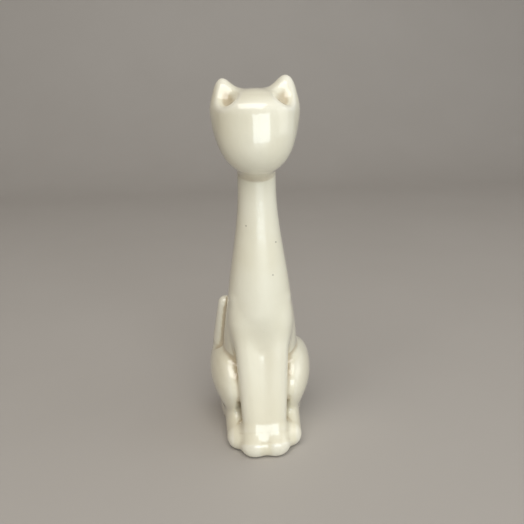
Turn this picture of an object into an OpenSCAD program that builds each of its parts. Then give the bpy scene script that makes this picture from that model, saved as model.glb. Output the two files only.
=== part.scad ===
// Long-necked ceramic cat, sitting upright with its tail standing up along one flank.
// Millimetres, +Z up. The cat faces -Y, its own left is +X. Origin under the middle of the foot.
// Each piece is one clay section, cut from the same skin, so the sections meet face to face.

/* [Neck and body] */
// Half width of the neck under the chin
neck_w = 13.8; // [12.5:0.1:15]
// Half depth of the neck under the chin
neck_d = 13.5; // [12.5:0.1:15]
// Half width across the shoulders
chest_w = 26; // [25:0.25:27]
// Half depth of the chest
chest_d = 24.5; // [23:0.25:26]
// Half width of the flanks behind the forelegs
flank_w = 29.5; // [28.5:0.25:30]
// Half width of the rump
rump_w = 31; // [29:0.5:32]
// Height of the rump's crown
rump_top = 92; // [86:1:98]

/* [Head] */
// Height of the widest line of the head
head_z = 255; // [253:0.5:256]
// Half width of the head
head_w = 29; // [28:0.1:30]
// Half depth of the head
head_d = 27; // [26:0.5:28.5]
// Height of the crown over the widest line
crown_h = 17.5; // [16.5:0.5:18.5]
// Drop of the chin under the widest line
chin_h = 40.5; // [39:0.5:42]
// Forward lean of the face under its widest line, as a slope
lean = 0.24; // [0.1:0.01:0.26]
// Fullness of the jaw: 1 is a plain egg, more is squarer
jaw = 1.22; // [1:0.02:1.3]
// Half width of an ear at its root
ear_w = 9.6; // [9:0.1:10.2]
// Extra height of the left ear over the right one
ear_step = 1.4; // [0:0.1:2]
// Depth of the scoop in the front of each ear
scoop_d = 10; // [8:0.25:10.5]

/* [Legs] */
// Radius of a foreleg at the shoulder
shoulder_r = 8.6; // [8:0.1:9.2]
// Radius of a foreleg at the ankle
ankle_r = 7.8; // [7.2:0.1:8.2]
// Radius of each front paw
paw_r = 10.5; // [10:0.1:10.5]
// How far each haunch stands out from its centre
haunch_w = 12.3; // [11.5:0.1:12.5]
// Half length of a haunch, front to back
haunch_d = 29; // [27:0.5:30]
// Half height of a haunch
haunch_h = 21.5; // [20:0.5:23]
// Radius of a hind paw at the toes
hind_r = 9.8; // [9:0.1:10]

/* [Tail] */
// Radius of the tail's thickest part
tail_r = 8.8; // [8:0.1:9]
// Radius of the tail's tip
tip_r = 5.9; // [5:0.1:6.5]

/* [Clay] */
// Thickness of the cast wall in the neck and head
wall = 5; // [4:0.25:5.5]
// Thickness of the plate that closes the foot
plate_t = 4; // [3:0.5:6]
// Diameter of the vent hole in the foot
vent_d = 8; // [6:0.5:10]

/* [Hidden] */
SEG = 72;          // facets round the body and head
CAV = 40;          // facets round the hollow
HEAD_ROWS = 27;    // rows from the crown to the chin seam
SEAM_CHIN = 209;   // seam between head and neck
SEAM_BREAST = 140; // seam between neck and body
SEAM_LEG = 110;    // top seam of the forelegs
SEAM_FOOT = 24;    // seam over the paws
SEAM_HAUNCH = 77;  // top seam of the haunches
EDGE = 1.5;        // rounding at the foot's rim
BIG = 400;
GLAZE = [0.90, 0.87, 0.76];
CLAY = [0.86, 0.80, 0.69];
HEAD_C = [0, -9.5, head_z];
EYE_C = [0, -10, 246];   // middle from which the head's rows fan out

// ---- small maths ----
function clip(t) = min(1, max(0, t));
function ease(t) = let (u = clip(t)) u * u * (3 - 2 * u);
function mix(a, b, t) = a + (b - a) * t;
// smooth joint of two masses with a fillet of about k
function join(a, b, k) = let (h = max(k - abs(a - b), 0) / k) min(a, b) - h * h * k / 4;
// soft-edged removal of one mass from another
function carve(a, b, k) = -join(-a, b, k);
function turn_x(q, a) = [q.x, q.y * cos(a) + q.z * sin(a), q.z * cos(a) - q.y * sin(a)];
function turn_z(q, a) = [q.x * cos(a) - q.y * sin(a), q.x * sin(a) + q.y * cos(a), q.z];
function turn_y(q, a) = [q.x * cos(a) - q.z * sin(a), q.y, q.x * sin(a) + q.z * cos(a)];

// ---- basic masses: negative inside, near to millimetres of distance outside ----
function ball(q, r) =
    let (u = [q.x / r.x, q.y / r.y, q.z / r.z], k0 = norm(u),
         k1 = norm([u.x / r.x, u.y / r.y, u.z / r.z])) k0 * (k0 - 1) / max(k1, 1e-9);
function column(x, y, a, b) =
    let (k0 = norm([x / a, y / b]), k1 = norm([x / (a * a), y / (b * b)]))
    k0 * (k0 - 1) / max(k1, 1e-9);
function rod(p, a, b, ra, rb) =
    let (d = b - a, t = clip((p - a) * d / (d * d))) norm(p - a - t * d) - mix(ra, rb, t);

// ---- the trunk: one column from chin to foot, its sections set by height ----
function chest_at(z) = ease((208 - z) / 112);
function low_at(z) = ease((114 - z) / 62);
function trunk_w(z) = mix(mix(neck_w, chest_w, chest_at(z)), flank_w, ease((120 - z) / 45));
function trunk_d(z) = mix(mix(neck_d, chest_d, chest_at(z)), 24, low_at(z));
function trunk_y(z) = mix(mix(-8, -4, chest_at(z)), 9, low_at(z));
function trunk(p) =
    carve(column(p.x, p.y - trunk_y(p.z), trunk_w(p.z), trunk_d(p.z)), 232 - p.z, 6);
function rump(p) = ball(p - [0, 16, rump_top - 54], [rump_w, 30.5, 54]);

// ---- limbs ----
function squash(p) = [p.x * 0.86, p.y, p.z];
function foreleg(p, s) =
    rod(squash(p), [s * 10.8, -11.5, 120], [s * 6.6, -31.5, 16], shoulder_r, ankle_r);
function forelegs(p) = join(foreleg(p, -1), foreleg(p, 1), 12);
function front_paw(p, s) =
    rod(squash(p), [s * 6.5, -31.8, 16], [s * 6.5, -36, 8], paw_r - 2.1, paw_r);
function front_paws(p) = join(front_paw(p, -1), front_paw(p, 1), 4);
function haunch(p) = ball(turn_x(turn_z([abs(p.x) - 28.2, p.y - 3, p.z - 49], 14), 14),
                          [haunch_w, haunch_d, haunch_h]);
function hind_paw(p) =
    rod([abs(p.x), p.y, p.z], [19.8, 8, 10], [20, -26, 8.6], hind_r + 1, hind_r);

// ---- tail: a curve from the back of the foot, round the flank and up ----
function bow(t) = pow(1 - t, 3) * [-12, 37, 17] + 3 * t * pow(1 - t, 2) * [-38, 42, 30]
    + 3 * t * t * (1 - t) * [-30, 12, 72] + pow(t, 3) * [-26.5, 6, 111];
function tail_at(t) = t < 0.2 ? mix(8, tail_r, t / 0.2) :
    t < 0.7 ? mix(tail_r, 8.4, (t - 0.2) / 0.5) : mix(8.4, tip_r, (t - 0.7) / 0.3);
TAIL = [for (i = [0 : 10]) [bow(i / 10), tail_at(i / 10)]];

// ---- head: an egg with two ears drawn up out of its sides ----
function face_y(g) = lean * join(g, 0, 20);
function egg(q) =
    let (t = ease((q.z + 14) / 28), h = mix(chin_h, crown_h, t),
         z = h * sign(q.z) * pow(abs(q.z) / h, mix(jaw, 1, t)))
    ball([q.x, q.y - face_y(q.z), z], [head_w, head_d, h]);
function ear(p, s) = let (k = ear_step * (s + 1) / 4)
    ball(turn_y(p - [s * 19.4, -5, 258.1 + k], s * 7), [ear_w + s * 0.4, 10.5, 21.2 + k]);
function scoop(p, s) = ball(p - [s * 20.5, -24.5, 272], [8, scoop_d, 10.5]);
function head_mass(p) =
    let (h = join(join(egg(p - HEAD_C), ear(p, -1), 10), ear(p, 1), 10))
    p.z < 255 ? h : carve(carve(h, scoop(p, -1), 4), scoop(p, 1), 4);

// ---- the skin of everything but the tail ----
function lower(p) =
    let (t = join(trunk(p), rump(p), 12),
         l = join(t, forelegs(p), mix(6, 2.5, ease((p.z - 100) / 18))),
         f = p.z < 50 ? join(l, front_paws(p), 5) : l)
    join(f, join(haunch(p), hind_paw(p), 24), mix(5, 18, ease((p.y + 2) / 30)));
function rim(z) = z >= EDGE ? 0 : EDGE - sqrt(EDGE * EDGE - pow(EDGE - z, 2));
function skin(p) = p.z > 200 ? join(trunk(p), head_mass(p), 6) :
    p.z > 136 ? trunk(p) : lower(p) + rim(p.z);

// distance from a point to the skin along a direction, walking in from outside
function walk(c, d, r, n) = n == 0 ? r : walk(c, d, r - skin(c + r * d), n - 1);
function spine(z) = [0, mix(-8, -2, ease((140 - z) / 60)), z];
function spoke(i) = [sin(360 * i / SEG), -cos(360 * i / SEG), 0];
function row(z) = let (c = spine(z))
    [for (i = [0 : SEG - 1]) c + spoke(i) * walk(c, spoke(i), z > 120 ? 32 : 54, z > 120 ? 11 : 18)];

// closed solid through rows of points, each end closed to a middle point
module loft(rows, low, high) {
    n = len(rows[0]);
    m = len(rows);
    pts = concat([for (r = rows) each r], [low, high]);
    sides = [for (j = [0 : m - 2], i = [0 : n - 1]) let (k = (i + 1) % n, a = j * n, b = a + n)
             each [[a + i, b + i, b + k], [a + i, b + k, a + k]]];
    ends = [for (i = [0 : n - 1]) let (k = (i + 1) % n, t = (m - 1) * n)
            each [[m * n, i, k], [m * n + 1, t + k, t + i]]];
    polyhedron(pts, concat(sides, ends), convexity = 6);
}

BODY_ROWS = concat([0, 0.5, 1.5], [for (z = [3.5 : 2.5 : 16]) z], [for (z = [18 : 1.5 : 27]) z],
                   [for (z = [30 : 4 : 102]) z], [for (z = [105 : 3 : 117]) z],
                   [for (z = [122 : 6 : 200]) z], [203, 206, SEAM_CHIN]);
module body_skin() loft([for (z = BODY_ROWS) row(z)], [0, -2, 0], spine(SEAM_CHIN));

// rows of the head run from the chin seam's outline up to the crown
module head_skin() {
    foot = row(SEAM_CHIN);
    fan = [for (j = [0 : HEAD_ROWS]) [for (i = [0 : SEG - 1])
        let (o = foot[i] - EYE_C, e0 = atan2(o.z, norm([o.x, o.y])), e = mix(e0, 87, j / HEAD_ROWS),
             h = [o.x, o.y, 0] / norm([o.x, o.y]), d = h * cos(e) + [0, 0, sin(e)])
        j == 0 ? foot[i] : EYE_C + d * walk(EYE_C, d, 42, 16)]];
    loft(fan, spine(SEAM_CHIN), EYE_C + [0, 0, walk(EYE_C, [0, 0, 1], 42, 16)]);
}

// ---- the hollow left by slip casting ----
function hol_at(z) = ease((140 - z) / 40);
function hol_w(z) = trunk_w(z) - wall - 4.5 * hol_at(z);
function hol_front(z) = mix(trunk_y(z) - trunk_d(z) + wall, -8, hol_at(z));
function hol_back(z) = trunk_y(z) + trunk_d(z) - wall - 3.5 * hol_at(z);
function hol_ring(a, f, b, z) = [for (i = [0 : CAV - 1]) let (t = 360 * i / CAV)
    [a * sin(t), (f + b) / 2 - (b - f) / 2 * cos(t), z]];
module hollow() {
    f = function (z) let (g = z - head_z,
        k = sqrt(max(0, 1 - pow(g / (g > 0 ? crown_h - wall : chin_h - wall), 2)))) k;
    zs = concat([-1, 10], [for (z = [20 : 10 : 200]) z], [for (z = [206 : 4 : head_z + 8]) z],
                [head_z + crown_h - wall - 2]);
    rows = [for (z = zs) let (k = z > head_z - chin_h + wall ? f(z) : 0, y = max(z, 10),
        a = max(z < 220 ? hol_w(y) : 0, (head_w - wall) * k),
        c = HEAD_C.y + face_y(z - head_z), d = (head_d - wall) * k,
        lo = min(z < 220 ? hol_front(y) : c, c - d),
        hi = max(z < 220 ? hol_back(y) : c, c + d)) hol_ring(a, lo, hi, z)];
    loft(rows, [0, 6, -1], HEAD_C + [0, 0, crown_h - wall]);
}
module foot_outline() polygon([for (q = hol_ring(hol_w(0), hol_front(0), hol_back(0), 0)) [q.x, q.y]]);

// ---- cutting shapes for the seams ----
module beyond(c, n) translate(c)
    rotate([0, acos(n.z / norm(n)), atan2(n.y, n.x)])
        translate([-BIG, -BIG, 0]) cube(2 * BIG);
module between(lo, hi) translate([-BIG, -BIG, lo]) cube([2 * BIG, 2 * BIG, hi - lo]);
module ear_cell(s) beyond([s * 11.5, 0, 270], [s * 12.5, 0, 19]);
module foreleg_cell(s) intersection() {
    between(SEAM_FOOT, SEAM_LEG);
    beyond([0, -14, 112], [0, -1, 0.051]);
    beyond([s * 19.6, 0, 0], [-s, 0, 0.02]);
    beyond([0, 0, 0], [s, 0, 0]);
}
module front_paw_cell(s) intersection() {
    between(-5, SEAM_FOOT);
    beyond([0, -19, 0], [0, -1, 0]);
    beyond([s * 18.5, -20, 0], [-s * 26, -3.5, 0]);
    beyond([0, 0, 0], [s, 0, 0]);
}
module haunch_cell(s) intersection() {
    between(SEAM_FOOT, SEAM_HAUNCH);
    beyond([s * 25.5, 10, 0], [s, -0.3, 0]);
}
module hind_paw_cell(s) intersection() {
    between(-5, SEAM_FOOT);
    beyond([s * 22.5, 10, 0], [s * 38, -8, 0]);
    beyond([0, 24, 0], [0, -1, 0]);
}
// the tail is a chain of round beads hulled pair by pair, let into the flank and the haunch
module tail_rod() for (i = [1 : 10]) hull() for (k = [i - 1, i])
    translate(TAIL[k][0]) sphere(r = TAIL[k][1], $fn = 28);

// ---- pieces ----
module head() color(GLAZE) resize([0, 0, 0]) difference() {
    head_skin();
    ear_cell(-1);
    ear_cell(1);
    hollow();
}
module ear_piece(s) resize([0, 0, 0]) intersection() {
    head_skin();
    ear_cell(s);
}
module left_ear() color(GLAZE) ear_piece(1);
module right_ear() color(GLAZE) ear_piece(-1);

module neck() color(GLAZE) resize([0, 0, 0]) difference() {
    intersection() {
        body_skin();
        between(SEAM_BREAST, SEAM_CHIN + 1);
    }
    hollow();
}
module body() color(GLAZE) resize([0, 0, 0]) difference() {
    body_skin();
    between(SEAM_BREAST, SEAM_CHIN + 10);
    for (s = [-1, 1]) {
        foreleg_cell(s);
        front_paw_cell(s);
        haunch_cell(s);
        hind_paw_cell(s);
    }
    tail_rod();
    hollow();
}
module foreleg_piece(s) resize([0, 0, 0]) intersection() {
    body_skin();
    foreleg_cell(s);
}
module left_foreleg() color(GLAZE) foreleg_piece(1);
module right_foreleg() color(GLAZE) foreleg_piece(-1);

module front_paw_piece(s) resize([0, 0, 0]) intersection() {
    body_skin();
    front_paw_cell(s);
}
module left_front_paw() color(GLAZE) front_paw_piece(1);
module right_front_paw() color(GLAZE) front_paw_piece(-1);

module haunch_piece(s) resize([0, 0, 0]) difference() {
    intersection() {
        body_skin();
        haunch_cell(s);
    }
    foreleg_cell(s);
    tail_rod();
}
module left_haunch() color(GLAZE) haunch_piece(1);
module right_haunch() color(GLAZE) haunch_piece(-1);

module hind_paw_piece(s) resize([0, 0, 0]) difference() {
    intersection() {
        body_skin();
        hind_paw_cell(s);
    }
    front_paw_cell(s);
    tail_rod();
}
module left_hind_paw() color(GLAZE) hind_paw_piece(1);
module right_hind_paw() color(GLAZE) hind_paw_piece(-1);

module tail() color(GLAZE) tail_rod();
module base_plate() color(CLAY) difference() {
    linear_extrude(plate_t) foot_outline();
    translate([0, 14, -1]) cylinder(h = plate_t + 2, d = vent_d, $fn = 48);
}

head();
left_ear();
right_ear();
neck();
body();
left_foreleg();
right_foreleg();
left_front_paw();
right_front_paw();
left_haunch();
right_haunch();
left_hind_paw();
right_hind_paw();
tail();
base_plate();
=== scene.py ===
"""Long-necked ceramic cat: its glazed skin, bare foot and studio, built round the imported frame.

The skin of the whole cat is one smooth clay form, the joint of a trunk, limbs, a tail and a head.
It is wrapped in a fine mesh once and then cut along the clay seams into the cat's sections, so
that neighbouring sections share their edges. Shapes are worked out in millimetres, +Z up, with
the cat facing -Y, and turned into metres when a section is finished.
"""
import logging
import math
from dataclasses import dataclass, field
from enum import Enum
from typing import Callable, Sequence

import bmesh
import bpy
import numpy as np
from mathutils import Matrix, Vector


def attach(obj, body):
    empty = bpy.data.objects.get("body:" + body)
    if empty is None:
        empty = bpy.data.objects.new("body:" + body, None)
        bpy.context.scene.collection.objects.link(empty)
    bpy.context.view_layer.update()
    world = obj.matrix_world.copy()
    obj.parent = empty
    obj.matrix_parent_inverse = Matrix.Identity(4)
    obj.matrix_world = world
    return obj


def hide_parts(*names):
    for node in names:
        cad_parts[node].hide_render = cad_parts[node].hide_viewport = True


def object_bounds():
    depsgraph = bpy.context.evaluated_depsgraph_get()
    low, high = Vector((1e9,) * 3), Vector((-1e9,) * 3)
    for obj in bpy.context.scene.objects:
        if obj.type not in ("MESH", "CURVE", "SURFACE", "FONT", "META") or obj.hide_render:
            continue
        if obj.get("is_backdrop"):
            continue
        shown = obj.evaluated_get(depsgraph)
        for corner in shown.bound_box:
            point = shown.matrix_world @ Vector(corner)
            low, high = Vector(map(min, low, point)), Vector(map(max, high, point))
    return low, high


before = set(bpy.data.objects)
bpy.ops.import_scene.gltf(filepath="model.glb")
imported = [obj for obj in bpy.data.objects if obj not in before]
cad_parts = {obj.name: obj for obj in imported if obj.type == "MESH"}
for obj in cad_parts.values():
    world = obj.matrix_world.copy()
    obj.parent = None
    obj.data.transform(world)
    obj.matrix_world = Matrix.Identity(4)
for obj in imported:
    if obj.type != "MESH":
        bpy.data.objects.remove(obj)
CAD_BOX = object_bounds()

LOG = logging.getLogger("ceramic_cat")
MM = 0.001
FAR = 60.0
FACE_SIZE = 1.2     # size of a face of the skin, in millimetres
ROOM_LOW = (-46.0, -50.0, -3.0)    # the space that the skin is looked for in, in millimetres
ROOM_HIGH = (46.0, 50.0, 285.0)
SKIN_GAP = 0.3      # how far a face of the skin may lie from the skin itself, in millimetres
SKIN_TURN = 0.6     # how well a face of the skin has to face outwards, 1 at best
FOOT_TOUCH = 0.12   # faces lower than this are wiped bare, in millimetres
SIDES = {"right": -1, "left": 1}

Array = np.ndarray
Mass = Callable[[Array], Array]
Triple = tuple[float, float, float]
Plane = tuple[Triple, Triple]


class Slot(Enum):
    """Material slots of the record."""

    GLAZE = "cream_glaze"
    CLAY = "bare_clay"


class Keep(Enum):
    """Which part of a clay block a cutter leaves."""

    INSIDE = "INTERSECT"
    OUTSIDE = "DIFFERENCE"


# ---- small maths -------------------------------------------------------------------------------
def ease(t: Array | float) -> Array | float:
    """Smooth step from 0 to 1."""
    u = np.clip(t, 0.0, 1.0)
    return u * u * (3.0 - 2.0 * u)


def mix(a: Array | float, b: Array | float, t: Array | float) -> Array | float:
    """Straight blend from a to b."""
    return a + (b - a) * t


def join(a: Array, b: Array, k: Array | float) -> Array:
    """Joins two masses with a fillet.

    Args:
        a: Distance to the first mass.
        b: Distance to the second mass.
        k: Width of the fillet in millimetres.

    Returns:
        The distance to the joined mass.
    """
    h = np.maximum(k - np.abs(a - b), 0.0) / k
    return np.minimum(a, b) - h * h * k * 0.25


def carve(a: Array, b: Array, k: float) -> Array:
    """Takes mass b out of mass a and leaves a soft edge about k wide."""
    return -join(-a, b, k)


def turn_x(q: Array, degrees: float) -> Array:
    """Points seen in axes that are turned about X."""
    c, s = math.cos(math.radians(degrees)), math.sin(math.radians(degrees))
    return np.stack([q[..., 0], q[..., 1] * c + q[..., 2] * s, q[..., 2] * c - q[..., 1] * s], -1)


def turn_z(q: Array, degrees: float) -> Array:
    """Points seen in axes that are turned about Z."""
    c, s = math.cos(math.radians(degrees)), math.sin(math.radians(degrees))
    return np.stack([q[..., 0] * c - q[..., 1] * s, q[..., 0] * s + q[..., 1] * c, q[..., 2]], -1)


def turn_y(q: Array, degrees: float) -> Array:
    """Points seen in axes that are turned about Y."""
    c, s = math.cos(math.radians(degrees)), math.sin(math.radians(degrees))
    return np.stack([q[..., 0] * c - q[..., 2] * s, q[..., 1], q[..., 0] * s + q[..., 2] * c], -1)


def ball(q: Array, radii: Sequence[Array | float]) -> Array:
    """Near distance to an egg-shaped mass about the origin.

    Args:
        q: Points, measured from the mass's centre.
        radii: Half sizes along each axis. Fewer than three make an endless column.

    Returns:
        The distance, negative inside.
    """
    unit = [q[..., i] / r for i, r in enumerate(radii)]
    k0 = np.sqrt(sum(u * u for u in unit))
    k1 = np.sqrt(sum((u / r) ** 2 for u, r in zip(unit, radii))) + 1e-9
    return k0 * (k0 - 1.0) / k1


def rod(p: Array, a: Sequence[float], b: Sequence[float], ra: float, rb: float) -> Array:
    """Distance to a round-ended taper from a to b, of radius ra to rb."""
    a, d = np.asarray(a, float), np.subtract(b, a).astype(float)
    t = np.clip(((p - a) @ d) / (d @ d), 0.0, 1.0)
    return np.sqrt(((p - a - t[..., None] * d) ** 2).sum(-1)) - (ra + (rb - ra) * t)


# ---- clay work: meshes from masses, and cuts ---------------------------------------------------
def new_mesh(name: str, points: Array, faces: Sequence[Sequence[int]]) -> bpy.types.Mesh:
    """Makes a mesh from points and faces."""
    mesh = bpy.data.meshes.new(name)
    mesh.from_pydata(np.asarray(points, float).tolist(), [], [list(map(int, f)) for f in faces])
    mesh.update()
    return mesh


def settle(mass: Mass, points: Array, rounds: int = 4) -> Array:
    """Moves points that are near the zero surface of a mass onto it."""
    for _ in range(rounds):
        slope = gradient(mass, points)
        step = (mass(points) / ((slope**2).sum(-1) + 1e-6))[:, None] * slope
        length = np.linalg.norm(step, axis=1, keepdims=True)
        points = points - step * np.minimum(1.0, 1.0 / np.maximum(length, 1e-9))
    return points


def gradient(mass: Mass, points: Array, reach: float = 0.15) -> Array:
    """Slope of a mass's distance at points, by central differences."""
    steps = np.eye(3) * reach
    return np.stack([mass(points + s) - mass(points - s) for s in steps], -1) / (2.0 * reach)


def hollowness(mass: Mass, points: Array, reach: float = 1.6) -> Array:
    """How hollow the surface is at points: 1 in a tight crease, -1 on a tight edge."""
    steps = np.concatenate([np.eye(3), -np.eye(3)]) * reach
    bend = sum(mass(points + s) for s in steps) - 6.0 * mass(points)
    return np.clip(-bend / reach**2 / 0.2, -1.0, 1.0)


def wrap(mass: Mass, low: Triple, high: Triple, pitch: float) -> tuple[Array, Array]:
    """Wraps the zero surface of a mass in a closed net of four-sided faces.

    Args:
        mass: Distance to the mass, negative inside.
        low: Lowest corner of the space to search.
        high: Highest corner of the space to search.
        pitch: Size of a face in millimetres.

    Returns:
        Points on the surface, and faces as rows of four point numbers.
    """
    count = [int(math.ceil((b - a) / pitch)) + 1 for a, b in zip(low, high)]
    axes = [a + pitch * np.arange(n) for a, n in zip(low, count)]
    depth = np.empty(count)
    for i in range(count[0]):
        depth[i] = mass(np.stack(np.meshgrid(axes[0][i : i + 1], *axes[1:], indexing="ij"), -1))[0]
    cells = [n - 1 for n in count]
    hits = np.zeros(cells)
    place = np.zeros(cells + [3])
    for axis in range(3):
        near = depth[tuple(slice(0, -1) if a == axis else slice(None) for a in range(3))]
        ahead = depth[tuple(slice(1, None) if a == axis else slice(None) for a in range(3))]
        cross = (near < 0) != (ahead < 0)
        along = np.where(cross, near / np.where(cross, near - ahead, 1.0), 0.0)
        grid = np.indices(near.shape)
        others = [a for a in range(3) if a != axis]
        for corner in ((0, 0), (0, 1), (1, 0), (1, 1)):
            part = [slice(None)] * 3
            for a, c in zip(others, corner):
                part[a] = slice(c, near.shape[a] - 1 + c)
            part = tuple(part)
            hits += cross[part]
            for a in range(3):
                spot = grid[a][part] + (along[part] if a == axis else 0.0)
                place[..., a] += np.where(cross[part], spot, 0.0)
    used = hits > 0
    number = np.full(cells, -1)
    number[used] = np.arange(used.sum())
    points = place[used] / hits[used][:, None] * pitch + np.array(low)
    faces = []
    for axis in range(3):
        others = [a for a in range(3) if a != axis]
        if axis == 1:
            others.reverse()
        inside = depth < 0
        near = inside[tuple(slice(0, -1) if a == axis else slice(1, -1) for a in range(3))]
        ahead = inside[tuple(slice(1, None) if a == axis else slice(1, -1) for a in range(3))]
        spots = np.argwhere(near != ahead)
        base = spots + np.array([0 if a == axis else 1 for a in range(3)])
        ring = []
        for d0, d1 in ((0, 0), (1, 0), (1, 1), (0, 1)):
            at = base.copy()
            at[:, others[0]] -= d0
            at[:, others[1]] -= d1
            ring.append(number[tuple(at.T)])
        ring = np.stack(ring, 1)
        faces.append(np.where(near[tuple(spots.T)][:, None], ring, ring[:, ::-1]))
    return settle(mass, points), np.concatenate(faces)


def cell(name: str, planes: Sequence[Plane], size: float = 800.0) -> bpy.types.Mesh:
    """Makes a closed cutter that keeps what lies beyond all of the given planes.

    Args:
        name: Name of the mesh.
        planes: A point on each plane, and the direction to keep.
        size: Size of the block that the planes trim.

    Returns:
        The cutter's mesh.
    """
    bm = bmesh.new()
    bmesh.ops.create_cube(bm, size=size)
    for point, keep in planes:
        parts = bm.verts[:] + bm.edges[:] + bm.faces[:]
        cut = bmesh.ops.bisect_plane(bm, geom=parts, plane_co=point, plane_no=keep, clear_inner=True)
        rim = [e for e in cut["geom_cut"] if isinstance(e, bmesh.types.BMEdge)]
        bmesh.ops.edgeloop_fill(bm, edges=rim)
    bmesh.ops.recalc_face_normals(bm, faces=bm.faces[:])
    mesh = bpy.data.meshes.new(name)
    bm.to_mesh(mesh)
    bm.free()
    return mesh


def cut(clay: bpy.types.Mesh, tool: bpy.types.Mesh, keep: Keep) -> bpy.types.Mesh:
    """Cuts one closed mesh with another and returns what is left as a new mesh."""
    pair = [bpy.data.objects.new("bench_" + m.name, m) for m in (clay, tool)]
    for obj in pair:
        bpy.context.scene.collection.objects.link(obj)
    knife = pair[0].modifiers.new("knife", "BOOLEAN")
    knife.object, knife.operation, knife.solver = pair[1], keep.value, "MANIFOLD"
    graph = bpy.context.evaluated_depsgraph_get()
    left = bpy.data.meshes.new_from_object(pair[0].evaluated_get(graph))
    for obj in pair:
        bpy.data.objects.remove(obj)
    return left


def tube(rows: Sequence[Array], closed: bool = False) -> tuple[Array, list[list[int]]]:
    """Joins equal rings of points into a skin.

    Args:
        rows: Rings of points, in order.
        closed: True joins the last ring to the first; False fills both end rings.

    Returns:
        The points and the faces.
    """
    n, m = len(rows[0]), len(rows)
    faces = []
    for j in range(m if closed else m - 1):
        a, b = j * n, ((j + 1) % m) * n
        faces += [[a + i, b + i, b + (i + 1) % n, a + (i + 1) % n] for i in range(n)]
    if not closed:
        faces += [list(range(n)), [(m - 1) * n + i for i in reversed(range(n))]]
    return np.concatenate(rows), faces


# ---- the cat's masses --------------------------------------------------------------------------
@dataclass(frozen=True)
class Trunk:
    """Neck, chest and flanks: one column whose sections change with height."""

    neck_w: float = 13.8
    neck_d: float = 13.5
    chest_w: float = 26.0
    chest_d: float = 24.5
    flank_w: float = 29.5
    flank_d: float = 24.0
    top: float = 232.0

    def width(self, z: Array | float) -> Array | float:
        """Half width at height z."""
        upper = mix(self.neck_w, self.chest_w, ease((208.0 - z) / 112.0))
        return mix(upper, self.flank_w, ease((120.0 - z) / 45.0))

    def depth(self, z: Array | float) -> Array | float:
        """Half depth at height z."""
        upper = mix(self.neck_d, self.chest_d, ease((208.0 - z) / 112.0))
        return mix(upper, self.flank_d, ease((114.0 - z) / 62.0))

    def middle(self, z: Array | float) -> Array | float:
        """Where the section's middle lies, front to back, at height z."""
        upper = mix(-8.0, -4.0, ease((208.0 - z) / 112.0))
        return mix(upper, 9.0, ease((114.0 - z) / 62.0))

    def mass(self, p: Array) -> Array:
        """Distance to the trunk."""
        z = p[..., 2]
        q = np.stack([p[..., 0], p[..., 1] - self.middle(z)], -1)
        return carve(ball(q, (self.width(z), self.depth(z))), self.top - z, 6.0)


@dataclass(frozen=True)
class Rump:
    """The round back end that the cat sits on."""

    centre: Triple = (0.0, 16.0, 38.0)
    radii: Triple = (31.0, 30.5, 54.0)

    def mass(self, p: Array) -> Array:
        """Distance to the rump."""
        return ball(p - np.array(self.centre), self.radii)


@dataclass(frozen=True)
class Hollow:
    """The space that slip casting leaves inside head, neck and body."""

    trunk: Trunk
    wall: float = 5.0
    facets: int = 96

    def ring(self, z: float, half: float | None = None, ends: tuple[float, float] | None = None) -> Array:
        """Ring of points round the hollow at height z.

        Args:
            z: Height of the ring.
            half: Half width, if it isn't the trunk's own.
            ends: Front and back, if they aren't the trunk's own.

        Returns:
            The ring's points.
        """
        y = max(z, 10.0)
        low = float(ease((140.0 - y) / 40.0))
        width, depth, mid = (float(f(y)) for f in (self.trunk.width, self.trunk.depth, self.trunk.middle))
        a = width - self.wall - 4.5 * low if half is None else half
        front = mix(mid - depth + self.wall, -8.0, low)
        back = mid + depth - self.wall - 3.5 * low
        front, back = ends or (front, back)
        t = np.linspace(0.0, 2.0 * np.pi, self.facets, endpoint=False)
        y_row = (front + back) / 2.0 - (back - front) / 2.0 * np.cos(t)
        return np.stack([a * np.sin(t), y_row, np.full_like(t, z)], -1)


@dataclass(frozen=True)
class Bend:
    """A curve through four guiding points, with a radius that changes along it."""

    guides: tuple[Triple, Triple, Triple, Triple]
    stations: tuple[float, ...]
    radii: tuple[float, ...]

    def at(self, t: float) -> tuple[Array, float]:
        """Point and radius at t from 0 to 1."""
        g = np.array(self.guides)
        weight = ((1 - t) ** 3, 3 * t * (1 - t) ** 2, 3 * t * t * (1 - t), t**3)
        return np.array(weight) @ g, float(np.interp(t, self.stations, self.radii))


class Section:
    """A sub-assembly: builds its own pieces from the clay block and dresses them."""

    def build(self, clay: "ClayBlock") -> list[bpy.types.Object]:
        """Takes this sub-assembly's pieces out of the block."""
        raise NotImplementedError

    def dress(self, pieces: Sequence[bpy.types.Object], shelf: "Shelf") -> None:
        """Puts glaze on the skin of the pieces and bare clay where they were luted or wiped."""
        for piece in pieces:
            piece.data.materials.clear()
            piece.data.materials.append(shelf.glaze)
            piece.data.materials.append(shelf.clay)


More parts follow.
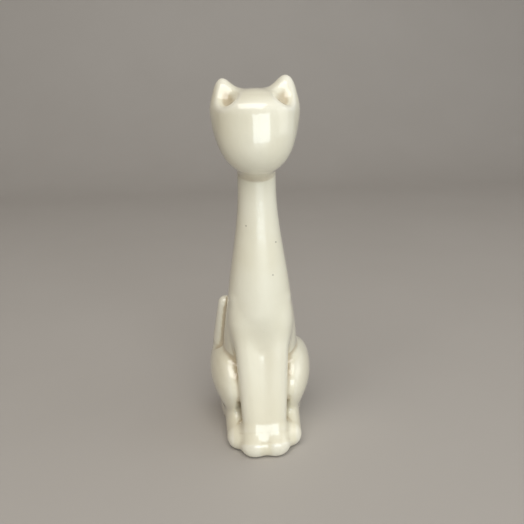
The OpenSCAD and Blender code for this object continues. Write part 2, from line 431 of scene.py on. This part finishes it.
@dataclass(frozen=True)
class Forelegs(Section):
    """Both forelegs with the soft groove between them, and the round paws under them."""

    shoulder: Triple = (10.8, -11.5, 120.0)
    ankle: Triple = (6.6, -31.5, 16.0)
    shoulder_r: float = 8.6
    ankle_r: float = 7.8
    squash: float = 0.86
    instep: Triple = (6.5, -31.8, 16.0)
    toes: Triple = (6.5, -36.0, 8.0)
    instep_r: float = 8.4
    toes_r: float = 10.5
    seam_top: float = 110.0
    seam_foot: float = 24.0

    def legs_mass(self, p: Array) -> Array:
        """Distance to the pair of legs."""
        q = p * np.array((self.squash, 1.0, 1.0))
        ends = [[(s * x, y, z) for x, y, z in (self.shoulder, self.ankle)] for s in SIDES.values()]
        right, left = (rod(q, top, foot, self.shoulder_r, self.ankle_r) for top, foot in ends)
        return join(right, left, 12.0)

    def paws_mass(self, p: Array) -> Array:
        """Distance to the pair of paws."""
        ends = [[(s * x, y, z) for x, y, z in (self.instep, self.toes)] for s in SIDES.values()]
        q = p * (self.squash, 1.0, 1.0)
        right, left = (rod(q, top, foot, self.instep_r, self.toes_r) for top, foot in ends)
        return join(right, left, 4.0)

    def build(self, clay: "ClayBlock") -> list[bpy.types.Object]:
        """Takes out the legs first, then the paws under them."""
        pieces = []
        for side, s in SIDES.items():
            leg = [((0, 0, self.seam_foot), (0, 0, 1)), ((0, 0, self.seam_top), (0, 0, -1))]
            leg += [((0, -14, 112), (0, -1, 0.051)), ((s * 19.6, 0, 0), (-s, 0, 0.02))]
            leg += [((0, 0, 0), (s, 0, 0))]
            pieces.append(clay.take(f"{side}_foreleg", cell("leg_cell", leg)))
        for side, s in SIDES.items():
            paw = [((0, 0, self.seam_foot), (0, 0, -1)), ((0, -19, 0), (0, -1, 0))]
            paw += [((s * 18.5, -20, 0), (-s * 26, -3.5, 0)), ((0, 0, 0), (s, 0, 0))]
            pieces.append(clay.take(f"{side}_front_paw", cell("paw_cell", paw)))
        return pieces


@dataclass(frozen=True)
class Hindquarters(Section):
    """Both folded thighs and the hind paws that lie along the foot."""

    haunch_at: Triple = (28.2, 3.0, 49.0)
    haunch_radii: Triple = (12.3, 29.0, 21.5)
    haunch_tilt: float = 14.0
    toe_in: float = 14.0
    heel: Triple = (19.8, 8.0, 10.0)
    toes: Triple = (20.0, -26.0, 8.6)
    heel_r: float = 10.8
    toes_r: float = 9.8
    seam_top: float = 77.0
    seam_foot: float = 24.0

    def haunch_mass(self, p: Array) -> Array:
        """Distance to the nearer haunch."""
        q = np.stack([np.abs(p[..., 0]), p[..., 1], p[..., 2]], -1) - np.array(self.haunch_at)
        return ball(turn_x(turn_z(q, self.toe_in), self.haunch_tilt), self.haunch_radii)

    def paw_mass(self, p: Array) -> Array:
        """Distance to the nearer hind paw."""
        q = np.stack([np.abs(p[..., 0]), p[..., 1], p[..., 2]], -1)
        return rod(q, self.heel, self.toes, self.heel_r, self.toes_r)

    def build(self, clay: "ClayBlock") -> list[bpy.types.Object]:
        """Takes out the haunches, then the hind paws."""
        pieces = []
        for side, s in SIDES.items():
            thigh = [((0, 0, self.seam_foot), (0, 0, 1)), ((0, 0, self.seam_top), (0, 0, -1))]
            thigh += [((s * 25.5, 10, 0), (s, -0.3, 0))]
            pieces.append(clay.take(f"{side}_haunch", cell("thigh_cell", thigh)))
        for side, s in SIDES.items():
            paw = [((0, 0, self.seam_foot), (0, 0, -1)), ((s * 22.5, 10, 0), (s * 38, -8, 0))]
            paw += [((0, 24, 0), (0, -1, 0))]
            pieces.append(clay.take(f"{side}_hind_paw", cell("hind_paw_cell", paw)))
        return pieces


@dataclass(frozen=True)
class Tail(Section):
    """The tail: from the back of the foot, round the flank, and up."""

    bend: Bend = Bend(
        ((-12.0, 37.0, 17.0), (-38.0, 42.0, 30.0), (-30.0, 12.0, 72.0), (-26.5, 6.0, 111.0)),
        (0.0, 0.2, 0.7, 1.0),
        (8.0, 8.8, 8.4, 5.9),
    )
    steps: int = 20
    seam: float = 1.0

    def mass(self, p: Array) -> Array:
        """Distance to the tail, worked out only near it."""
        near = (p[..., 0] < 2.0) & (p[..., 1] > -6.0) & (p[..., 2] < 124.0)
        out = np.full(p.shape[:-1], FAR)
        q, best = p[near], FAR
        beads = [self.bend.at(i / self.steps) for i in range(self.steps + 1)]
        for (a, ra), (b, rb) in zip(beads[:-1], beads[1:]):
            best = np.minimum(best, rod(q, a, b, ra, rb))
        out[near] = best
        return out

    def build(self, clay: "ClayBlock") -> list[bpy.types.Object]:
        """Takes out the tail with a sleeve that is a little wider than it."""
        sleeve = wrap(lambda p: self.mass(p) - self.seam, (-44, -5, 4), (2, 54, 122), 1.5)
        return [clay.take("tail", new_mesh("tail_sleeve", *sleeve))]


@dataclass(frozen=True)
class Head(Section):
    """The plain egg-shaped head, and two ears drawn up out of its sides."""

    at: Triple = (0.0, -9.5, 255.0)
    half_w: float = 29.0
    half_d: float = 27.0
    crown_h: float = 17.5
    chin_h: float = 40.5
    lean: float = 0.24
    jaw: float = 1.22
    ear_at: Triple = (19.4, -5.0, 258.1)
    ear_radii: Triple = (9.6, 10.5, 21.2)
    ear_step: float = 1.4
    ear_tilt: float = 7.0
    scoop_at: Triple = (20.5, -24.5, 272.0)
    scoop_radii: Triple = (8.0, 10.0, 10.5)
    seam_chin: float = 209.0
    seam_ear: Plane = ((11.5, 0.0, 270.0), (12.5, 0.0, 19.0))

    def face(self, drop: Array | float) -> Array | float:
        """How far forward the face leans, at a height over the widest line."""
        return self.lean * join(np.asarray(drop, float), np.zeros_like(drop, dtype=float), 20.0)

    def egg(self, p: Array) -> Array:
        """Distance to the head without its ears."""
        q = p - np.array(self.at)
        rise = ease((q[..., 2] + 14.0) / 28.0)
        height = mix(self.chin_h, self.crown_h, rise)
        z = height * np.sign(q[..., 2]) * (np.abs(q[..., 2]) / height) ** mix(self.jaw, 1.0, rise)
        q = np.stack([q[..., 0], q[..., 1] - self.face(q[..., 2]), z], -1)
        return ball(q, (self.half_w, self.half_d, height))

    def ear(self, p: Array, s: int) -> Array:
        """Distance to one ear."""
        extra = self.ear_step * (s + 1) / 4.0
        x, y, z = self.ear_at
        a, b, c = self.ear_radii
        q = turn_y(p - np.array((s * x, y, z + extra)), s * self.ear_tilt)
        return ball(q, (a + s * 0.4, b, c + extra))

    def mass(self, p: Array) -> Array:
        """Distance to the head with its ears and their scoops."""
        whole = join(join(self.egg(p), self.ear(p, -1), 10.0), self.ear(p, 1), 10.0)
        x, y, z = self.scoop_at
        for s in SIDES.values():
            whole = carve(whole, ball(p - np.array((s * x, y, z)), self.scoop_radii), 4.0)
        return whole

    def hollow_rows(self, hollow: Hollow) -> list[Array]:
        """Rings of the hollow above the neck."""
        rows = []
        top = self.at[2] + self.crown_h - hollow.wall
        for z in [*np.arange(206.0, self.at[2] + 9.0, 4.0), top - 2.0]:
            g = z - self.at[2]
            reach = (self.crown_h if g > 0 else self.chin_h) - hollow.wall
            k = math.sqrt(max(0.0, 1.0 - (g / reach) ** 2))
            c, d = self.at[1] + float(self.face(g)), (self.half_d - hollow.wall) * k
            half, low, high = (self.half_w - hollow.wall) * k, c - d, c + d
            if z < 220.0:
                neck = hollow.ring(z)
                half = max(half, neck[:, 0].max())
                low, high = min(low, neck[:, 1].min()), max(high, neck[:, 1].max())
            rows.append(hollow.ring(z, half, (low, high)))
        return rows

    def build(self, clay: "ClayBlock") -> list[bpy.types.Object]:
        """Takes out the ears, then the head."""
        (x, y, z), (nx, ny, nz) = self.seam_ear
        ears = [
            clay.take(f"{side}_ear", cell("ear_cell", [((s * x, y, z), (s * nx, ny, nz))]))
            for side, s in SIDES.items()
        ]
        over_chin = cell("head_cell", [((0, 0, self.seam_chin), (0, 0, 1))])
        return ears + [clay.take("head", over_chin)]


@dataclass(frozen=True)
class Torso(Section):
    """Neck and body, and the bare plate that closes the foot."""

    trunk: Trunk = Trunk()
    rump: Rump = Rump()
    seam_breast: float = 140.0
    plate_t: float = 4.0
    vent_d: float = 8.0
    vent_y: float = 14.0
    dish: float = 0.35

    def build(self, clay: "ClayBlock") -> list[bpy.types.Object]:
        """Takes out the neck, and keeps the rest of the block as the body."""
        over_breast = cell("neck_cell", [((0, 0, self.seam_breast), (0, 0, 1))])
        return [clay.take("neck", over_breast), clay.rest("body")]

    def plate(self, hollow: Hollow) -> bpy.types.Object:
        """Makes the foot's plate: a little dished, with a soft-edged vent hole."""
        rim = hollow.ring(0.0)[:, :2]
        t = np.linspace(0.0, 2.0 * np.pi, len(rim), endpoint=False)
        hole = np.stack([np.sin(t), -np.cos(t)], -1) * self.vent_d / 2.0 + (0.0, self.vent_y)
        rows = []
        steps = [(0.0, self.plate_t), (0.0, 0.12), (0.01, 0.0), (0.04, 0.03), (0.12, 0.14)]
        steps += [(0.3, self.dish * 0.8), (0.6, self.dish), (0.9, self.dish), (0.95, self.dish + 0.06)]
        steps += [(0.985, self.dish + 0.3), (1.0, self.dish + 0.9), (1.0, self.plate_t)]
        for blend, z in steps:
            xy = mix(rim, hole, blend)
            rows.append(np.column_stack([xy, np.full(len(xy), z)]))
        points, faces = tube(rows, closed=True)
        mesh = new_mesh("base_plate_clay", points * MM, faces)
        bm = bmesh.new()
        bm.from_mesh(mesh)
        bmesh.ops.recalc_face_normals(bm, faces=bm.faces[:])
        bm.to_mesh(mesh)
        bm.free()
        mesh.polygons.foreach_set("use_smooth", np.ones(len(mesh.polygons), bool))
        piece = bpy.data.objects.new("base_plate_clay", mesh)
        bpy.context.scene.collection.objects.link(piece)
        mesh.set_sharp_from_angle(angle=math.radians(50.0))
        return piece

    def dress_plate(self, plate: bpy.types.Object, shelf: "Shelf") -> None:
        """Leaves the plate bare."""
        plate.data.materials.append(shelf.clay)


@dataclass
class Cat:
    """The whole figurine: its sub-assemblies and the skin that joins them."""

    torso: Torso = Torso()
    forelegs: Forelegs = Forelegs()
    hind: Hindquarters = Hindquarters()
    tail: Tail = Tail()
    head: Head = Head()
    foot_edge: float = 3.0
    hollow: Hollow = field(init=False)

    def __post_init__(self) -> None:
        """Fits the hollow to the trunk."""
        self.hollow = Hollow(self.torso.trunk)

    def lower(self, p: Array) -> Array:
        """Distance to everything under the breast."""
        d = join(self.torso.trunk.mass(p), self.torso.rump.mass(p), 12.0)
        d = join(d, self.forelegs.legs_mass(p), mix(6.0, 2.5, ease((p[..., 2] - 100.0) / 18.0)))
        d = join(d, self.forelegs.paws_mass(p), 5.0)
        hind = join(self.hind.haunch_mass(p), self.hind.paw_mass(p), 24.0)
        d = join(d, hind, mix(5.0, 18.0, ease((p[..., 1] + 2.0) / 30.0)))
        d = join(d, self.tail.mass(p), 3.0)
        return carve(d, p[..., 2], self.foot_edge)

    def skin(self, p: Array) -> Array:
        """Distance to the skin of the cat, negative inside the clay."""
        out = np.empty(p.shape[:-1])
        z = p[..., 2]
        high, low = z > 200.0, z <= 136.0
        neck = ~(high | low)
        out[neck] = self.torso.trunk.mass(p[neck])
        if high.any():
            q = p[high]
            out[high] = join(self.torso.trunk.mass(q), self.head.mass(q), 6.0)
        if low.any():
            out[low] = self.lower(p[low])
        return out

    def cavity(self) -> bpy.types.Mesh:
        """Makes the closed form of the hollow."""
        rows = [self.hollow.ring(z) for z in (-1.0, 10.0, *np.arange(20.0, 201.0, 10.0))]
        return new_mesh("cavity", *tube(rows + self.head.hollow_rows(self.hollow)))


class ClayBlock:
    """The cat's skin as one closed block, from which the sections are taken in turn."""

    def __init__(self, cat: Cat, pitch: float) -> None:
        """Wraps the cat's skin and opens its hollow.

        Args:
            cat: The cat.
            pitch: Size of a face in millimetres.
        """
        self.cat = cat
        points, faces = wrap(cat.skin, ROOM_LOW, ROOM_HIGH, pitch)
        LOG.info("skin wrapped: %d points, %d faces", len(points), len(faces))
        whole = new_mesh("cat_skin", points, faces)
        self.block = cut(whole, cat.cavity(), Keep.OUTSIDE)

    def take(self, node: str, tool: bpy.types.Mesh) -> bpy.types.Object:
        """Cuts out the piece that stands for a node."""
        piece = cut(self.block, tool, Keep.INSIDE)
        self.block = cut(self.block, tool, Keep.OUTSIDE)
        return self.finish(node, piece)

    def rest(self, node: str) -> bpy.types.Object:
        """Keeps what is left of the block as the piece for a node."""
        return self.finish(node, self.block)

    def finish(self, node: str, mesh: bpy.types.Mesh) -> bpy.types.Object:
        """Smooths the skin of a piece, marks its bare faces and brings it to size.

        Args:
            node: The CAD node that the piece stands for.
            mesh: The piece's closed mesh, in millimetres.

        Returns:
            The piece.
        """
        corners, total = len(mesh.vertices), len(mesh.polygons)
        points, centres, flat = (np.empty(3 * n) for n in (corners, total, total))
        mesh.vertices.foreach_get("co", points)
        mesh.polygons.foreach_get("center", centres)
        mesh.polygons.foreach_get("normal", flat)
        points, centres, flat = (a.reshape(-1, 3) for a in (points, centres, flat))
        slope = gradient(self.cat.skin, points)
        slope /= np.linalg.norm(slope, axis=1, keepdims=True) + 1e-9
        face_slope = gradient(self.cat.skin, centres)
        face_slope /= np.linalg.norm(face_slope, axis=1, keepdims=True) + 1e-9
        outer = np.abs(self.cat.skin(centres)) < SKIN_GAP
        outer &= (face_slope * flat).sum(1) > SKIN_TURN
        loops = len(mesh.loops)
        vertex = np.empty(loops, np.int32)
        mesh.loops.foreach_get("vertex_index", vertex)
        sides = np.empty(total, np.int32)
        mesh.polygons.foreach_get("loop_total", sides)
        normals = np.where(np.repeat(outer, sides)[:, None], slope[vertex], np.repeat(flat, sides, 0))
        bare = ~outer | (centres[:, 2] < FOOT_TOUCH)
        mesh.materials.clear()
        mesh.polygons.foreach_set("material_index", bare.astype(np.int32))
        mesh.polygons.foreach_set("use_smooth", outer)
        # Crease depth lightens the glaze on edges and darkens it in creases, partly as pooled glaze and
        # partly as painted shade.
        crease_depth = mesh.attributes.new("crease_depth", "FLOAT", "POINT")
        crease_depth.data.foreach_set("value", hollowness(self.cat.skin, points).astype(np.float32))
        mesh.vertices.foreach_set("co", (points * MM).ravel())
        mesh.update()
        mesh.normals_split_custom_set(normals.tolist())
        piece = bpy.data.objects.new(f"{node}_ceramic", mesh)
        bpy.context.scene.collection.objects.link(piece)
        return piece


# ---- finishes ----------------------------------------------------------------------------------
class Nodes:
    """A short way to lay out a material's nodes."""

    def __init__(self, name: str) -> None:
        """Starts an empty material."""
        self.material = bpy.data.materials.new(name)
        self.material.use_nodes = True
        self.tree = self.material.node_tree
        self.tree.nodes.clear()
        self.out = self.add("ShaderNodeOutputMaterial")

    def add(self, kind: str, values: dict | None = None, **options: object) -> bpy.types.Node:
        """Adds a node.

        Args:
            kind: The node's type.
            values: Input sockets by name or number, as numbers or as sockets to link from.
            options: The node's own settings.

        Returns:
            The node.
        """
        node = self.tree.nodes.new(kind)
        for key, value in options.items():
            setattr(node, key, value)
        for key, value in (values or {}).items():
            if isinstance(value, bpy.types.NodeSocket):
                self.tree.links.new(value, node.inputs[key])
            else:
                node.inputs[key].default_value = value
        return node

    def maths(self, operation: str, a: object, b: object = 0.0) -> bpy.types.NodeSocket:
        """Adds a sum of two numbers."""
        return self.add("ShaderNodeMath", {0: a, 1: b}, operation=operation).outputs[0]

    def fade(self, value: object, low: float, high: float) -> bpy.types.NodeSocket:
        """Adds a smooth step of a number between two limits."""
        values = {"Value": value, 1: low, 2: high}
        node = self.add("ShaderNodeMapRange", values, interpolation_type="SMOOTHSTEP")
        return node.outputs["Result"]

    def blend(self, factor: object, a: object, b: object) -> bpy.types.NodeSocket:
        """Adds a blend of two colours."""
        node = self.add("ShaderNodeMix", {0: factor, 6: a, 7: b}, data_type="RGBA")
        return node.outputs[2]

    def noise(
        self, where: object, scale: float, detail: float = 2.0, rough: float = 0.5
    ) -> bpy.types.NodeSocket:
        """Adds a soft random pattern, in features per metre."""
        values = {"Vector": where, "Scale": scale, "Detail": detail, "Roughness": rough}
        return self.add("ShaderNodeTexNoise", values).outputs["Fac"]


Colour = tuple[float, float, float, float]


@dataclass(frozen=True)
class CreamGlaze:
    """Glossy warm cream glaze over pale earthenware, darker in its creases with pooled glaze and painted
    shade.
    """

    cream: Colour = (0.84, 0.805, 0.655, 1.0)
    warm: Colour = (0.80, 0.755, 0.59, 1.0)
    thin: Colour = (0.86, 0.825, 0.70, 1.0)
    # Dark brown for the creases: partly glaze pooled in the hollows, partly painted shade.
    pooled_glaze_and_shade: Colour = (0.50, 0.40, 0.25, 1.0)
    low: Colour = (0.80, 0.74, 0.56, 1.0)
    speck: Colour = (0.20, 0.16, 0.11, 1.0)
    specks: tuple[tuple[Triple, float], ...] = (
        ((-9.8, -32.8, 232.3), 0.55),
        ((12.2, -19.1, 166.2), 0.5),
        ((9.2, -23.9, 142.8), 0.4),
        ((-9.1, -19.9, 179.2), 0.4),
    )

    def material(self) -> bpy.types.Material:
        """Makes the glaze."""
        n = Nodes("cream_glaze_finish")
        where = n.add("ShaderNodeTexCoord").outputs["Object"]
        height = n.add("ShaderNodeSeparateXYZ", {0: where}).outputs["Z"]
        crease_depth = n.add("ShaderNodeAttribute", attribute_name="crease_depth").outputs["Fac"]
        cloud = n.noise(where, 22.0, 3.0)
        mottle = n.noise(where, 160.0, 4.0, 0.6)
        base = n.blend(n.fade(cloud, 0.35, 0.68), self.cream, self.warm)
        base = n.blend(n.maths("MULTIPLY", n.fade(height, 0.13, 0.0), 0.75), base, self.low)
        edge = n.fade(n.maths("MULTIPLY", crease_depth, -1.0), 0.15, 1.0)
        base = n.blend(n.maths("MULTIPLY", edge, 0.7), base, self.thin)
        drift = n.maths("MULTIPLY", n.maths("SUBTRACT", mottle, 0.5), 0.35)
        # Painted crease shade: hollows darken towards the dark brown, partly as pooled glaze and partly as
        # painted shade.
        pooling_and_shade_mask = n.fade(n.maths("ADD", crease_depth, drift), 0.08, 0.85)
        base = n.blend(n.maths("MULTIPLY", pooling_and_shade_mask, 0.75), base, self.pooled_glaze_and_shade)
        base = n.blend(n.maths("MULTIPLY", self.dots(n, where), 0.85), base, self.speck)
        rough = n.add("ShaderNodeMapRange", {"Value": mottle, 3: 0.24, 4: 0.36}).outputs["Result"]
        peel = n.maths("ADD", n.noise(where, 420.0, 2.0), n.maths("MULTIPLY", n.noise(where, 75.0), 2.0))
        bump = n.add("ShaderNodeBump", {"Strength": 0.10, "Distance": 0.0004, "Height": peel})
        values = {
            "Base Color": base,
            "Roughness": rough,
            "Specular IOR Level": 0.4,
            "Coat Weight": 1.0,
            "Coat Roughness": 0.035,
            "Coat IOR": 1.55,
            "Normal": bump.outputs["Normal"],
            "Coat Normal": bump.outputs["Normal"],
        }
        shader = n.add("ShaderNodeBsdfPrincipled", values)
        n.tree.links.new(shader.outputs[0], n.out.inputs["Surface"])
        return n.material

    def dots(self, n: Nodes, where: bpy.types.NodeSocket) -> bpy.types.NodeSocket:
        """Adds iron specks: a few known ones, and rare tiny ones all over.

        Args:
            n: The material's nodes.
            where: The point on the cat.

        Returns:
            1 on a speck, 0 elsewhere.
        """
        ragged = n.maths("MULTIPLY", n.noise(where, 2600.0), 0.0006)
        total: object = 0.0
        for at, radius in self.specks:
            spot = tuple(v * MM for v in at)
            gap = n.add("ShaderNodeVectorMath", {0: where, 1: spot}, operation="DISTANCE").outputs["Value"]
            gap = n.maths("ADD", gap, ragged)
            total = n.maths("MAXIMUM", total, n.fade(gap, (radius + 0.55) * MM, (radius + 0.15) * MM))
        cells = n.add("ShaderNodeTexVoronoi", {"Vector": where, "Scale": 75.0})
        chance = n.add("ShaderNodeSeparateColor", {0: cells.outputs["Color"]}).outputs["Red"]
        near = n.fade(cells.outputs["Distance"], 0.028, 0.014)
        tiny = n.maths("MULTIPLY", near, n.fade(chance, 0.93, 0.95))
        return n.maths("MAXIMUM", total, n.maths("MULTIPLY", tiny, 0.6))


@dataclass(frozen=True)
class BareClay:
    """Matt fired clay where the foot was wiped clean."""

    pale: Colour = (0.72, 0.64, 0.50, 1.0)
    dark: Colour = (0.60, 0.50, 0.37, 1.0)
    grit: Colour = (0.40, 0.30, 0.20, 1.0)

    def material(self) -> bpy.types.Material:
        """Makes the clay."""
        n = Nodes("bare_clay_finish")
        where = n.add("ShaderNodeTexCoord").outputs["Object"]
        grain = n.noise(where, 900.0, 6.0, 0.65)
        base = n.blend(n.fade(n.noise(where, 60.0, 4.0), 0.35, 0.7), self.pale, self.dark)
        base = n.blend(n.fade(n.noise(where, 1500.0, 2.0), 0.66, 0.74), base, self.grit)
        rough = n.add("ShaderNodeMapRange", {"Value": grain, 3: 0.75, 4: 0.95}).outputs["Result"]
        bump = n.add("ShaderNodeBump", {"Strength": 0.5, "Distance": 0.0003, "Height": grain})
        values = {"Base Color": base, "Roughness": rough, "Normal": bump.outputs["Normal"]}
        shader = n.add("ShaderNodeBsdfPrincipled", values)
        n.tree.links.new(shader.outputs[0], n.out.inputs["Surface"])
        return n.material


@dataclass(frozen=True)
class PaleFloor:
    """Plain pale painted floor."""

    pale: Colour = (0.48, 0.45, 0.415, 1.0)
    shade: Colour = (0.45, 0.42, 0.385, 1.0)

    def material(self) -> bpy.types.Material:
        """Makes the floor's paint."""
        n = Nodes("pale_floor_finish")
        where = n.add("ShaderNodeTexCoord").outputs["Object"]
        base = n.blend(n.noise(where, 6.0, 4.0), self.pale, self.shade)
        shader = n.add("ShaderNodeBsdfPrincipled", {"Base Color": base, "Roughness": 0.6})
        n.tree.links.new(shader.outputs[0], n.out.inputs["Surface"])
        return n.material


@dataclass
class Shelf:
    """The finishes, made once."""

    glaze: bpy.types.Material
    clay: bpy.types.Material

    @classmethod
    def stock(cls) -> "Shelf":
        """Makes both finishes."""
        return cls(CreamGlaze().material(), BareClay().material())


# ---- studio ------------------------------------------------------------------------------------
@dataclass(frozen=True)
class Lamp:
    """A soft box that faces a point, set by its direction from that point."""

    name: str
    azimuth: float
    height: float
    distance: float
    size: tuple[float, float]
    power: float
    colour: Triple = (1.0, 1.0, 1.0)
    aim: Triple = (0.0, 0.0, 0.16)

    def hang(self) -> bpy.types.Object:
        """Adds the lamp."""
        data = bpy.data.lights.new(self.name, "AREA")
        data.shape, (data.size, data.size_y) = "RECTANGLE", self.size
        data.energy, data.color = self.power, self.colour
        lamp = bpy.data.objects.new(self.name, data)
        turn = math.radians(self.azimuth)
        lamp.location = (math.sin(turn) * self.distance, -math.cos(turn) * self.distance, self.height)
        away = Vector(lamp.location) - Vector(self.aim)
        lamp.rotation_euler = away.to_track_quat("Z", "Y").to_euler()
        lamp.visible_camera = False
        bpy.context.scene.collection.objects.link(lamp)
        return lamp


@dataclass(frozen=True)
class Studio:
    """Floor, soft light and camera."""

    azimuth: float = -3.5
    distance: float = 384.0
    height: float = 269.0
    pitch: float = 17.85
    roll: float = 1.4
    shift_x: float = 2.9
    lens: float = 36.07
    lamps: tuple[Lamp, ...] = (
        Lamp("window_box", 13.0, 0.36, 1.8, (1.4, 0.74), 12.5, (0.84, 0.94, 1.0)),
        Lamp("ceiling_box", -14.0, 2.0, 1.1, (2.2, 1.5), 34.0, (1.0, 0.975, 0.93)),
        Lamp("side_box", 75.0, 0.7, 1.7, (1.0, 1.0), 3.0, (1.0, 0.99, 0.97)),
    )

    def camera(self) -> None:
        """Adds the camera."""
        a, p, r = (math.radians(v) for v in (self.azimuth, self.pitch, self.roll))
        at = Vector((math.sin(a) * self.distance + self.shift_x, -math.cos(a) * self.distance, self.height))
        ahead = Vector((-math.sin(a) * math.cos(p), math.cos(a) * math.cos(p), -math.sin(p)))
        right = Vector((math.cos(a), math.sin(a), 0.0))
        up = right.cross(ahead)
        side = right * math.cos(r) - up * math.sin(r)
        head = up * math.cos(r) + right * math.sin(r)
        data = bpy.data.cameras.new("view_camera")
        data.lens, data.sensor_width, data.clip_start = self.lens, 36.0, 0.01
        eye = bpy.data.objects.new("view_camera", data)
        turn = Matrix((side, head, -ahead)).transposed().to_4x4()
        eye.matrix_world = Matrix.Translation(at * MM) @ turn
        bpy.context.scene.collection.objects.link(eye)
        bpy.context.scene.camera = eye

    def floor(self) -> None:
        """Adds the floor, which sweeps up far behind the cat."""
        start, sweep, top, front, half = 1.1, 0.7, 3.2, -1.6, 2.6
        turn = np.linspace(0.0, math.pi / 2.0, 13)
        side = [(front, 0.0), *zip(start + sweep * np.sin(turn), sweep - sweep * np.cos(turn))]
        side.append((start + sweep, top))
        points = [(x, y, z) for y, z in side for x in (-half, half)]
        faces = [(2 * i, 2 * i + 1, 2 * i + 3, 2 * i + 2) for i in range(len(side) - 1)]
        mesh = new_mesh("floor", np.array(points), faces)
        mesh.polygons.foreach_set("use_smooth", np.ones(len(faces), bool))
        mesh.materials.append(PaleFloor().material())
        floor = bpy.data.objects.new("floor", mesh)
        bpy.context.scene.collection.objects.link(floor)
        floor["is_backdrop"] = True

    def daylight(self) -> None:
        """Sets soft light from all round: brighter from the cat's left, warm and dim from its right."""
        world = bpy.data.worlds.new("soft_room")
        world.use_nodes = True
        tree = world.node_tree
        tree.nodes.clear()
        way = tree.nodes.new("ShaderNodeTexCoord")
        split = tree.nodes.new("ShaderNodeSeparateXYZ")
        across = tree.nodes.new("ShaderNodeMapRange")
        across.inputs[1].default_value, across.inputs[2].default_value = -0.45, 0.75
        blend = tree.nodes.new("ShaderNodeMix")
        blend.data_type = "RGBA"
        blend.inputs[6].default_value = (0.075, 0.05, 0.03, 1.0)
        blend.inputs[7].default_value = (0.50, 0.52, 0.54, 1.0)
        sky = tree.nodes.new("ShaderNodeBackground")
        out = tree.nodes.new("ShaderNodeOutputWorld")
        for a, b in (
            (way.outputs["Generated"], split.inputs[0]),
            (split.outputs["X"], across.inputs["Value"]),
            (across.outputs["Result"], blend.inputs[0]),
            (blend.outputs[2], sky.inputs["Color"]),
            (sky.outputs[0], out.inputs["Surface"]),
        ):
            tree.links.new(a, b)
        bpy.context.scene.world = world

    def set_up(self) -> None:
        """Adds everything and sets plain colour output."""
        self.camera()
        self.floor()
        self.daylight()
        for lamp in self.lamps:
            lamp.hang()
        bpy.context.scene.view_settings.view_transform = "Standard"


def write_sizes() -> None:
    """Logs the CAD box and the visual model's box."""
    boxes = {"cad": CAD_BOX, "visual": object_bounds()}
    plain = {name: [[float(v) for v in corner] for corner in box] for name, box in boxes.items()}
    for name, box in plain.items():
        LOG.info("%s box: %s", name, box)


def settle_on_frame(piece: bpy.types.Object, node: str) -> None:
    """Lets a piece ride on the cat's body and stand for its CAD node."""
    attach(piece, "root")
    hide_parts(node)
    LOG.info("piece %s stands for %s", piece.name, node)


def main() -> None:
    """Builds the cat and the studio."""
    logging.basicConfig(level=logging.INFO, format="%(name)s: %(message)s")
    cat, shelf = Cat(), Shelf.stock()
    clay = ClayBlock(cat, FACE_SIZE)
    for section in (cat.tail, cat.head, cat.forelegs, cat.hind, cat.torso):
        pieces = section.build(clay)
        section.dress(pieces, shelf)
        for piece in pieces:
            settle_on_frame(piece, piece.name.removesuffix("_ceramic"))
    plate = cat.torso.plate(cat.hollow)
    cat.torso.dress_plate(plate, shelf)
    settle_on_frame(plate, "base_plate")
    Studio().set_up()
    write_sizes()


if __name__ == "__main__":
    main()
